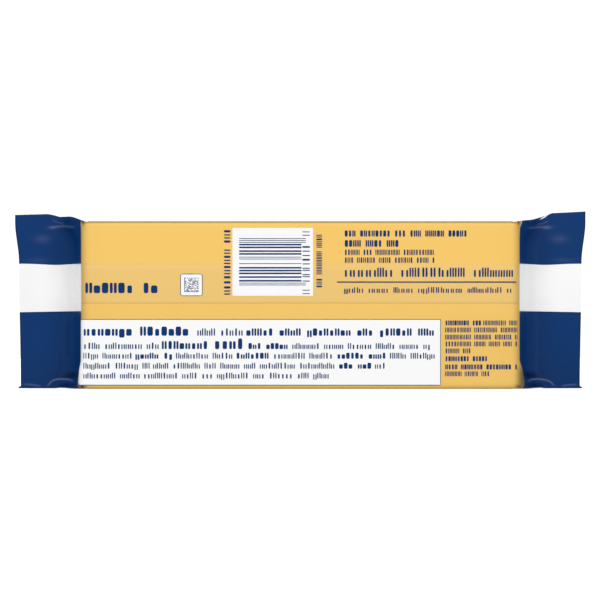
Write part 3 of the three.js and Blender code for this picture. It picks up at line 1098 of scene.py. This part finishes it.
def film_shader(name, colour_of):
    """Semi-gloss printed film: a screened colour, sheen patches, soft ripples and a fine grain."""
    material = bpy.data.materials.new(name)
    material.use_nodes = True
    tree = material.node_tree
    tree.nodes.clear()
    place = node(tree, "ShaderNodeTexCoord").outputs["Object"]
    axes = node(tree, "ShaderNodeSeparateXYZ", {"Vector": place}).outputs
    slanting = []
    for way in ("ADD", "SUBTRACT"):
        across = calculated(tree, way, axes["X"], axes["Z"])
        turns = calculated(tree, "MULTIPLY", 2 * math.pi / SCREEN_PITCH, across)
        slanting.append(calculated(tree, "SINE", turns))
    screen = ranged(tree, calculated(tree, "MULTIPLY", *slanting), 1.0, 1.0 + SCREEN_CONTRAST)
    sheen = ranged(tree, noise(tree, place, *SHEEN_NOISE), *FILM_ROUGHNESS)
    inputs = {"Height": noise(tree, place, *RIPPLE_NOISE), "Distance": RIPPLE_DEPTH}
    rippled = node(tree, "ShaderNodeBump", inputs).outputs[0]
    inputs = {"Height": noise(tree, place, *GRAIN_NOISE), "Distance": GRAIN_DEPTH, "Normal": rippled}
    grained = node(tree, "ShaderNodeBump", inputs).outputs[0]
    inputs = {"Color": colour_of(tree), "Value": screen}
    tint = node(tree, "ShaderNodeHueSaturation", inputs).outputs[0]
    inputs = {"Base Color": tint, "Roughness": sheen, "Normal": grained, "Specular IOR Level": FILM_GLOSS}
    shader = node(tree, "ShaderNodeBsdfPrincipled", inputs).outputs[0]
    node(tree, "ShaderNodeOutputMaterial", {"Surface": shader})
    return material


def film_material(inks):
    """Yellow ground with a paler lap seam and painted shade over its edges, and navy ends with painted
    highlights and shade, crossed by a white stripe.
    """

    def colour_of(tree):
        ground = blended(tree, carried(tree, "seam_share"), inks.yellow, inks.seam_yellow)
        # Painted shade on the yellow ground where the film turns over the block's edges.
        ground = blended(tree, carried(tree, "edge_tint"), ground, inks.painted_shade_yellow)
        # Painted shade, then painted highlights, on the navy of the fins.
        navy = blended(tree, carried(tree, "dark"), inks.navy, inks.painted_shade_navy)
        navy = blended(tree, carried(tree, "worn"), navy, inks.glint_and_whitened_navy)
        # White: the printed stripe, and the painted highlight above the front's top edge.
        ends = blended(tree, threshold(tree, carried(tree, "stripe_inside")), navy, inks.white)
        return blended(tree, threshold(tree, carried(tree, "past_ink_start")), ground, ends)

    return film_shader("printed_film", colour_of)


def ink_material(name, ink):
    """A flat ink of the print with the film's finish, made once."""
    return bpy.data.materials.get(name) or film_shader(name, lambda tree: opaque(ink))


class CHEESE_OT_film(bpy.types.Operator):
    """Makes the folded film, and puts it in place of the block's solid"""

    bl_idname = "cheese.film"
    bl_label = "Folded film"

    def execute(self, context):
        film = Film(context.scene.cheese_film)
        rings, lengths, half_count = film.rings()
        ring_total, ring_count, _ = rings.shape
        points = rings.reshape(-1, 3)
        faces = film_faces(ring_total, ring_count, half_count)
        wrap = mesh_object(FILM_NAME, points, faces, film_material(context.scene.cheese_inks))
        if len(wrap.data.vertices) != len(points):
            raise RuntimeError("the film's mesh lost points")
        for name, values in film_fields(film, points, np.repeat(lengths, ring_count)).items():
            field = wrap.data.attributes.new(name, "FLOAT", "POINT")
            field.data.foreach_set("value", np.asarray(values, np.float32))
        wrap.data.shade_smooth()
        wrap.data.set_sharp_from_angle(angle=SHARP_ANGLE)
        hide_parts(BLOCK_NODE)
        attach(wrap, BODY)
        return {"FINISHED"}


def mark_shape(tree, rounding):
    """A closed block of one unit each way, with its face to the front and its corners rounded."""
    outline = node(tree, "GeometryNodeCurvePrimitiveQuadrilateral", {"Width": 1.0, "Height": 1.0})
    inputs = {"Curve": outline.outputs[0], "Radius": rounding, "Count": MARK_CORNER_STEPS}
    rounded = node(tree, "GeometryNodeFilletCurve", inputs, mode="POLY").outputs[0]
    face = node(tree, "GeometryNodeFillCurve", {"Curve": rounded}, mode="NGONS").outputs[0]
    inputs = {"Mesh": face, "Offset Scale": 1.0, "Individual": False}
    raised = node(tree, "GeometryNodeExtrudeMesh", inputs, mode="FACES").outputs[0]
    under = node(tree, "GeometryNodeFlipFaces", {"Mesh": face}).outputs[0]
    both = node(tree, "GeometryNodeJoinGeometry")
    for part in (raised, under):
        tree.links.new(part, both.inputs[0])
    closed = node(tree, "GeometryNodeMergeByDistance", {"Geometry": both.outputs[0]}).outputs[0]
    inputs = {"Geometry": closed, "Rotation": (math.pi / 2, 0.0, 0.0)}
    return node(tree, "GeometryNodeTransform", inputs).outputs[0]


def film_below(tree, film):
    """Where each point's ray meets the film, and the direction into the film there."""
    film = node(tree, "GeometryNodeObjectInfo", {"Object": film}).outputs["Geometry"]
    inputs = {"Target Geometry": film, "Ray Direction": (0.0, 1.0, 0.0), "Ray Length": MARK_START}
    hit = node(tree, "GeometryNodeRaycast", inputs).outputs
    inputs = {0: hit["Hit Normal"], "Scale": -1.0}
    inwards = node(tree, "ShaderNodeVectorMath", inputs, operation="SCALE").outputs[0]
    return hit["Hit Position"], inwards


def marks_tree():
    """Geometry Nodes that lay a thin block on the film at each point, of the size that it carries."""
    tree = bpy.data.node_groups.new(MARKS_TREE, "GeometryNodeTree")
    sockets = {
        "Places": "Geometry",
        "Film": "Object",
        "Ink": "Material",
        "Sunk": "Float",
        "Rounding": "Float",
    }
    for name, kind in sockets.items():
        tree.interface.new_socket(name, in_out="INPUT", socket_type="NodeSocket" + kind)
    tree.interface.new_socket("Marks", in_out="OUTPUT", socket_type="NodeSocketGeometry")
    given = node(tree, "NodeGroupInput").outputs
    block = mark_shape(tree, given["Rounding"])
    place, inwards = film_below(tree, given["Film"])
    turned = node(tree, "FunctionNodeAlignRotationToVector", {"Vector": inwards}, axis="Y").outputs[0]
    inputs = {"Name": MARK_SIZE}
    size = node(tree, "GeometryNodeInputNamedAttribute", inputs, data_type="FLOAT_VECTOR").outputs[0]
    inputs = {"Points": given["Places"], "Instance": block, "Rotation": turned, "Scale": size}
    blocks = node(tree, "GeometryNodeInstanceOnPoints", inputs).outputs[0]
    inputs = {0: inwards, "Scale": given["Sunk"]}
    below = node(tree, "ShaderNodeVectorMath", inputs, operation="SCALE").outputs[0]
    seat = node(tree, "ShaderNodeVectorMath", {0: place, 1: below}).outputs[0]
    seated = node(tree, "GeometryNodeSetPosition", {"Geometry": blocks, "Position": seat}).outputs[0]
    real = node(tree, "GeometryNodeRealizeInstances", {"Geometry": seated}).outputs[0]
    inputs = {"Geometry": real, "Material": given["Ink"]}
    inked = node(tree, "GeometryNodeSetMaterial", inputs).outputs[0]
    node(tree, "NodeGroupOutput", {"Marks": inked})
    return tree


def print_marks(context, name, marks, rounding):
    """A piece of thin blocks laid on the film, each (x, z, width, height) in millimetres."""
    settings = context.scene.cheese_print
    x, z, width, height = np.array(marks).T * MM
    places = mesh_object(name, np.stack([x, 0 * x - MARK_START, z], axis=-1), [])
    sizes = np.stack([width, 0 * x + settings.mark_lift + settings.sunk, height], axis=-1)
    carried_sizes = places.data.attributes.new(MARK_SIZE, "FLOAT_VECTOR", "POINT")
    carried_sizes.data.foreach_set("vector", sizes.astype(np.float32).ravel())
    tree = bpy.data.node_groups.get(MARKS_TREE) or marks_tree()
    layer = places.modifiers.new("marks", "NODES")
    layer.node_group = tree
    values = {
        "Film": bpy.data.objects[FILM_NAME],
        "Ink": ink_material("navy_ink", context.scene.cheese_inks.navy),
        "Sunk": settings.sunk,
        "Rounding": rounding,
    }
    for socket in tree.interface.items_tree:
        if socket.name in values:
            layer[socket.identifier] = values[socket.name]
    evaluated = places.evaluated_get(context.evaluated_depsgraph_get())
    mesh = bpy.data.meshes.new_from_object(evaluated)
    if not mesh.polygons:
        raise RuntimeError(f"no marks were made for {name}")
    places.modifiers.remove(layer)
    places.data = mesh
    finish_print(places, "ink_navy")


def finish_print(piece, slot):
    """Makes a piece of print stay with the pack."""
    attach(piece, BODY)


class CHEESE_OT_panels(bpy.types.Operator):
    """Makes the white panels and their dark rims"""

    bl_idname = "cheese.panels"
    bl_label = "White panels"

    def execute(self, context):
        film = Film(context.scene.cheese_film)
        settings = context.scene.cheese_print
        inks = context.scene.cheese_inks
        rims, whites = [], []
        for edges, corners, has_rim in PANELS.values():
            edges, corners = np.array(edges) * MM, np.array(corners) * MM
            whites.append(panel_plate(film, edges, corners, settings.panel_lift, settings.sunk))
            if has_rim:
                grown = edges + settings.rim_width * np.array((-1, 1, -1, 1))
                wider = corners + settings.rim_width
                rims.append(panel_plate(film, grown, wider, settings.rim_lift, settings.sunk))
        for name, plates, material, slot in (
            ("panel_rims", rims, ink_material("navy_ink", inks.navy), "ink_navy"),
            ("white_panels", whites, ink_material("white_ink", inks.white), "ink_white"),
        ):
            finish_print(mesh_object(name, *joined(plates), material), slot)
        return {"FINISHED"}


class CHEESE_OT_codes(bpy.types.Operator):
    """Prints a made-up line code and dot code"""

    bl_idname = "cheese.codes"
    bl_label = "Codes"

    def execute(self, context):
        draw = random.Random(context.scene.cheese_print.seed)
        print_marks(context, "line_code", line_code(draw), SHARP_CORNER)
        print_marks(context, "dot_code", dot_code(draw), SHARP_CORNER)
        return {"FINISHED"}


class CHEESE_OT_small_print(bpy.types.Operator):
    """Prints rows of plain blocks where the pack has its small print"""

    bl_idname = "cheese.small_print"
    bl_label = "Small print"

    def execute(self, context):
        draw = random.Random(context.scene.cheese_print.seed)
        print_marks(context, "small_print", small_print(draw), BLOCK_ROUNDING)
        left, right, height, thickness = RULE
        rule = ((left + right) / 2, height, right - left, thickness)
        print_marks(context, "rule", [rule], SHARP_CORNER)
        return {"FINISHED"}


class CHEESE_OT_studio(bpy.types.Operator):
    """Makes the pale floor, the soft lights and the camera"""

    bl_idname = "cheese.studio"
    bl_label = "Studio"

    def execute(self, context):
        studio = context.scene.cheese_studio
        self.make_floor(studio)
        self.make_sky(context.scene, studio)
        for name, (setting, azimuth, elevation, size, mirrored) in LIGHTS.items():
            light = self.make_light(name, getattr(studio, setting), azimuth, elevation, size)
            light.visible_glossy = mirrored
        self.make_camera(context.scene, studio)
        context.scene.view_settings.view_transform = "Standard"
        return {"FINISHED"}

    def make_floor(self, studio):
        """A round pale floor that glows a little, and lights nothing."""
        turns = np.arange(FLOOR_POINTS) * 2 * math.pi / FLOOR_POINTS
        rim = np.stack([np.cos(turns), np.sin(turns), 0 * turns], axis=-1) * studio.floor_radius
        material = bpy.data.materials.new("pale_floor")
        material.use_nodes = True
        shader = material.node_tree.nodes["Principled BSDF"]
        for name, value in {
            "Base Color": opaque(FLOOR_GREY),
            "Roughness": FLOOR_ROUGHNESS,
            "Specular IOR Level": FLOOR_GLOSS,
            "Emission Color": opaque(WHITE),
            "Emission Strength": FLOOR_GLOW,
        }.items():
            shader.inputs[name].default_value = value
        floor = mesh_object("floor", rim, [list(range(FLOOR_POINTS))], material)
        floor.visible_diffuse = False
        floor.visible_glossy = False
        floor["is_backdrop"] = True

    def make_sky(self, scene, studio):
        """White where the camera sees it, and an even, weaker light on the block."""
        world = bpy.data.worlds.new("studio_sky")
        world.use_nodes = True
        tree = world.node_tree
        tree.nodes.clear()
        path = node(tree, "ShaderNodeLightPath").outputs
        strength = ranged(tree, path["Is Glossy Ray"], studio.ambient, MIRRORED_SKY)
        inputs = {"Value": path["Is Camera Ray"], "To Min": strength, "To Max": SEEN_SKY}
        strength = node(tree, "ShaderNodeMapRange", inputs).outputs[0]
        sky = node(tree, "ShaderNodeBackground", {"Color": opaque(WHITE), "Strength": strength})
        node(tree, "ShaderNodeOutputWorld", {"Surface": sky.outputs[0]})
        scene.world = world

    def make_light(self, name, watts, azimuth, elevation, size):
        """A soft light aimed at the block."""
        data = bpy.data.lights.new(name, "AREA")
        data.shape = "RECTANGLE"
        data.size, data.size_y = size
        data.energy = watts
        light = scene_object(name, data)
        turn, rise = math.radians(azimuth), math.radians(elevation)
        flat = math.cos(rise)
        away = Vector((math.sin(turn) * flat, -math.cos(turn) * flat, math.sin(rise)))
        light.location = Vector((0.0, 0.0, AIM_Z)) + away * LIGHT_DISTANCE
        light.rotation_euler = away.to_track_quat("Z", "Y").to_euler()
        return light

    def make_camera(self, scene, studio):
        """A camera square on to the front face."""
        data = bpy.data.cameras.new("camera")
        data.sensor_fit = "HORIZONTAL"
        data.sensor_width = SENSOR_WIDTH
        data.lens = SENSOR_WIDTH * studio.camera_distance / studio.view_width
        data.clip_end = CLIP_DISTANCES * studio.camera_distance
        camera = scene_object("camera", data)
        camera.location = (AIM_X, BLOCK_LOW.y - studio.camera_distance, AIM_Z)
        camera.rotation_euler = (math.pi / 2, 0.0, 0.0)
        scene.camera = camera


class CHEESE_PT_pack(bpy.types.Panel):
    """Lists what makes the wrapped block"""

    bl_idname = "CHEESE_PT_pack"
    bl_label = "Wrapped cheese block"
    bl_space_type = "VIEW_3D"
    bl_region_type = "UI"
    bl_category = "Cheese Block"

    def draw(self, context):
        for name, kind in SETTINGS.items():
            settings = getattr(context.scene, name)
            box = self.layout.box()
            for setting in kind.__annotations__:
                box.prop(settings, setting)
        for maker in MAKERS:
            self.layout.operator(maker.bl_idname)


MAKERS = (
    CHEESE_OT_film,
    CHEESE_OT_panels,
    CHEESE_OT_codes,
    CHEESE_OT_small_print,
    CHEESE_OT_studio,
)
SETTINGS = {
    "cheese_film": FilmSettings,
    "cheese_inks": InkSettings,
    "cheese_print": PrintSettings,
    "cheese_studio": StudioSettings,
}
CLASSES = (*SETTINGS.values(), *MAKERS, CHEESE_PT_pack)


def register():
    for cls in CLASSES:
        bpy.utils.register_class(cls)
    for name, kind in SETTINGS.items():
        setattr(bpy.types.Scene, name, PointerProperty(type=kind))


def unregister():
    for name in SETTINGS:
        delattr(bpy.types.Scene, name)
    for cls in reversed(CLASSES):
        bpy.utils.unregister_class(cls)


def main():
    register()
    bpy.ops.cheese.film()
    bpy.ops.cheese.panels()
    bpy.ops.cheese.codes()
    bpy.ops.cheese.small_print()
    bpy.ops.cheese.studio()
    boxes = {"cad": CAD_BOX, "visual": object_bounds()}
    {name: [list(corner) for corner in box] for name, box in boxes.items()}


if __name__ == "__main__":
    main()
